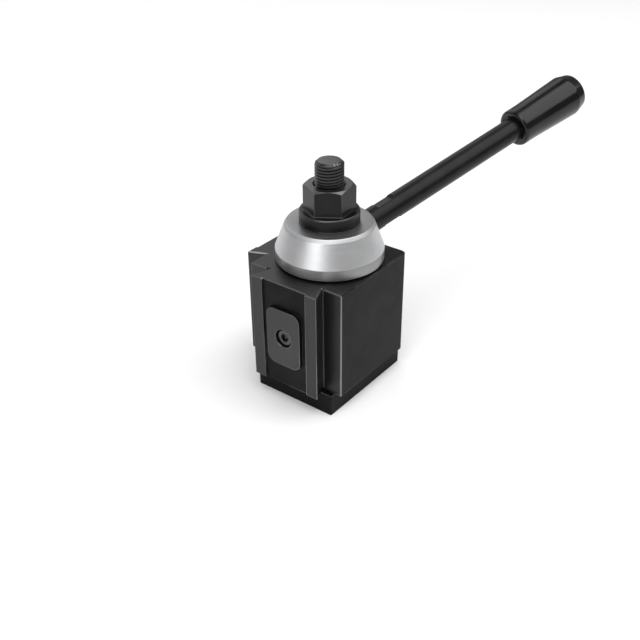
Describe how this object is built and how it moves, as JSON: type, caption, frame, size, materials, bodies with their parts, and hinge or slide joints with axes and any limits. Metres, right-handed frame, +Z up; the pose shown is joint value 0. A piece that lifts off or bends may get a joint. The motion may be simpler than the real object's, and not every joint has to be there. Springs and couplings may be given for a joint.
{
  "type": "quick change tool post",
  "caption": "Square lathe tool post with dovetail faces, cam-driven clamping pads, a conical hub with an angled handle, and a T-nut stud with a flanged nut.",
  "frame": {"origin": "stud axis at the underside of the T-nut", "axes": "+Z up along the stud, -Y towards the front dovetail, -X towards the left dovetail"},
  "size_m": [0.0937, 0.2001, 0.1277],
  "materials": {
    "black_oxide_steel": "black oxide, satin",
    "black_oxide_fasteners": "black oxide, semi-gloss",
    "ground_steel": "ground",
    "satin_chrome": "satin chrome",
    "bronze": "turned",
    "brass": "turned",
    "seal_rubber": "matt",
    "black_plastic": "moulded, glossy"
  },
  "bodies": {
    "base": {"t_nut": "black_oxide_steel", "stud": "black_oxide_steel"},
    "post": {"post_body": "black_oxide_steel", "clamp_sleeve": "ground_steel", "thrust_washer": "bronze", "stop_pin": "ground_steel"},
    "cam_and_handle": {"cam_spindle": "ground_steel", "spindle_o_ring": "seal_rubber", "handle_hub": "satin_chrome", "hub_set_screws": "black_oxide_fasteners", "handle_rod": "black_oxide_steel", "grip_insert": "brass", "handle_grip": "black_plastic"},
    "front_clamp": {"front_piston": "ground_steel", "front_pad": "ground_steel", "front_pad_screw": "black_oxide_fasteners"},
    "left_clamp": {"left_piston": "ground_steel", "left_pad": "ground_steel", "left_pad_screw": "black_oxide_fasteners"},
    "nut": {"flange_nut": "black_oxide_steel"}
  },
  "joints": [
    {"name": "post_swivel", "type": "hinge", "parent": "base", "child": "post", "pos_m": [0, 0, 0.04], "axis": [0, 0, 1], "continuous": true},
    {"name": "nut_turn", "type": "hinge", "parent": "base", "child": "nut", "pos_m": [0, 0, 0.098], "axis": [0, 0, 1], "continuous": true},
    {"name": "handle_turn", "type": "hinge", "parent": "post", "child": "cam_and_handle", "pos_m": [0, 0, 0.04], "axis": [0, 0, 1], "range_deg": [-18, 36]},
    {"name": "front_clamp_slide", "type": "slide", "parent": "post", "child": "front_clamp", "axis": [0, -1, 0], "range_m": [-0.00109, 0.00055]},
    {"name": "left_clamp_slide", "type": "slide", "parent": "post", "child": "left_clamp", "axis": [-1, 0, 0], "range_m": [-0.00109, 0.00055]}
  ],
  "couplings": [
    {"joint": "front_clamp_slide", "follows": "handle_turn", "m_per_rad": -0.0017189},
    {"joint": "left_clamp_slide", "follows": "handle_turn", "m_per_rad": -0.0017189}
  ]
}
